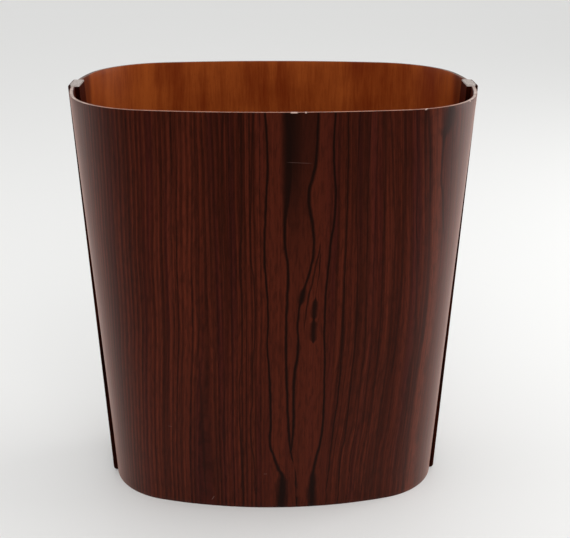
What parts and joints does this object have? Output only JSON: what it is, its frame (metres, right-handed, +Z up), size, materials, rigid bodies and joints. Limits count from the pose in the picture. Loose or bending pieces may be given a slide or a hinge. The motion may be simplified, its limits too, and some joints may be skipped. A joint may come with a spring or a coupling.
{
  "type": "wastebasket",
  "caption": "Open oval wastebasket that tapers towards the floor: bent plywood shells with dark figured veneer, joined at the sides by grooved solid-wood battens.",
  "frame": {"origin": "middle of the footprint, on the floor", "axes": "+Z up; +X from the left batten to the right batten, along the width; +Y from the front shell to the back shell, along the depth"},
  "size_m": [0.3118, 0.2158, 0.3312],
  "materials": {
    "face_veneer": "satin lacquer over dark reddish-brown figured veneer",
    "core_ply": "sanded, thinly lacquered ply edge",
    "lining_veneer": "satin lacquer over orange-brown veneer",
    "batten": "oiled dark hardwood, greyed on its end grain"
  },
  "bodies": {
    "root": {"front_face_veneer": "face_veneer", "front_core": "core_ply", "front_lining": "lining_veneer", "back_face_veneer": "face_veneer", "back_core": "core_ply", "back_lining": "lining_veneer", "left_batten": "batten", "right_batten": "batten", "bottom_upper_ply": "lining_veneer", "bottom_core_ply": "core_ply", "bottom_lower_ply": "core_ply"}
  },
  "joints": []
}
